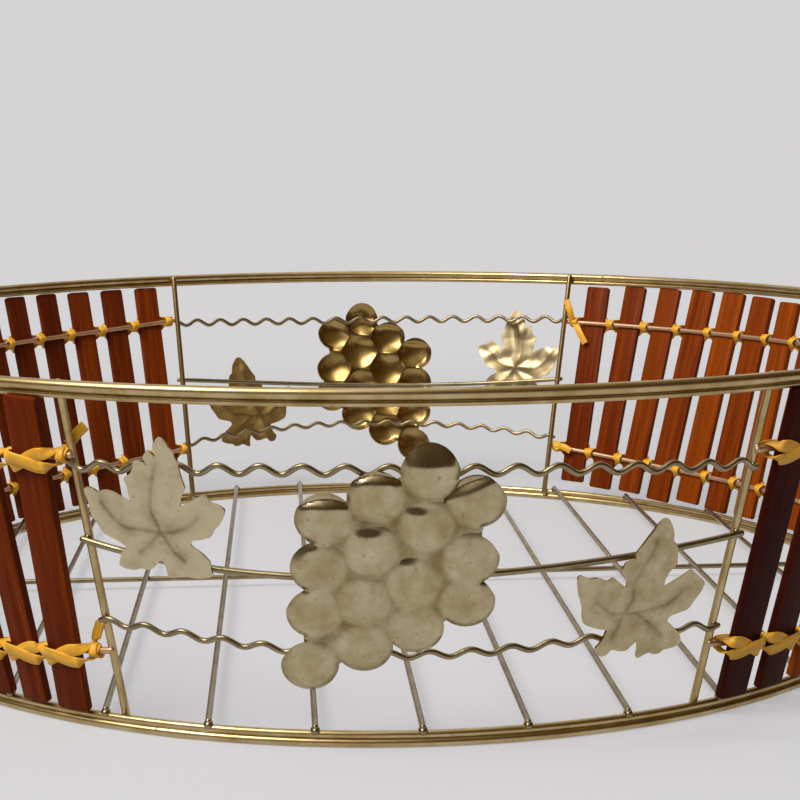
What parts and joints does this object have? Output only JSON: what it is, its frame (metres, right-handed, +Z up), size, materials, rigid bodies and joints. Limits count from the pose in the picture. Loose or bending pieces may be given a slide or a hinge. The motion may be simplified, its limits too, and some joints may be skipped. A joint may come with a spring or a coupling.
{
  "type": "fruit basket",
  "caption": "Round open fruit basket of brass wire with a flared wall, crimped panel wires, stamped grape and leaf ornaments and end screens of laced stained slats",
  "frame": {"origin": "middle of the basket at the underside of its base hoop", "axes": "+Z up, the front panel faces -Y, the slat screens are at +X and -X"},
  "size_m": [0.3584, 0.3584, 0.0888],
  "materials": {
    "brass_wire": "bright brass-plated drawn wire",
    "stamped_brass": "satin brass-plated stamped sheet",
    "stained_slats": "reddish-brown stain, satin",
    "yellow_lacing": "golden yellow flat lace, satin"
  },
  "bodies": {
    "root": {"rim_hoop": "brass_wire", "lower_rim_hoop": "brass_wire", "floor_hoop": "brass_wire", "base_hoop": "brass_wire", "floor_wire_1": "brass_wire", "floor_wire_2": "brass_wire", "floor_wire_3": "brass_wire", "floor_wire_4": "brass_wire", "floor_wire_5": "brass_wire", "floor_wire_6": "brass_wire", "floor_wire_7": "brass_wire", "floor_wire_8": "brass_wire", "floor_wire_9": "brass_wire", "floor_wire_10": "brass_wire", "floor_wire_11": "brass_wire", "floor_lengthwise_wire": "brass_wire", "front_upright_left": "brass_wire", "front_upright_right": "brass_wire", "front_upper_crimped_wire": "brass_wire", "front_middle_wire": "brass_wire", "front_lower_crimped_wire": "brass_wire", "front_grape_cluster": "stamped_brass", "front_leaf_a": "stamped_brass", "front_leaf_b": "stamped_brass", "back_upright_left": "brass_wire", "back_upright_right": "brass_wire", "back_upper_crimped_wire": "brass_wire", "back_middle_wire": "brass_wire", "back_lower_crimped_wire": "brass_wire", "back_grape_cluster": "stamped_brass", "back_leaf_a": "stamped_brass", "back_leaf_b": "stamped_brass", "right_slat_screen": "stained_slats", "right_upper_lacing": "yellow_lacing", "right_lower_lacing": "yellow_lacing", "left_slat_screen": "stained_slats", "left_upper_lacing": "yellow_lacing", "left_lower_lacing": "yellow_lacing"}
  },
  "joints": []
}
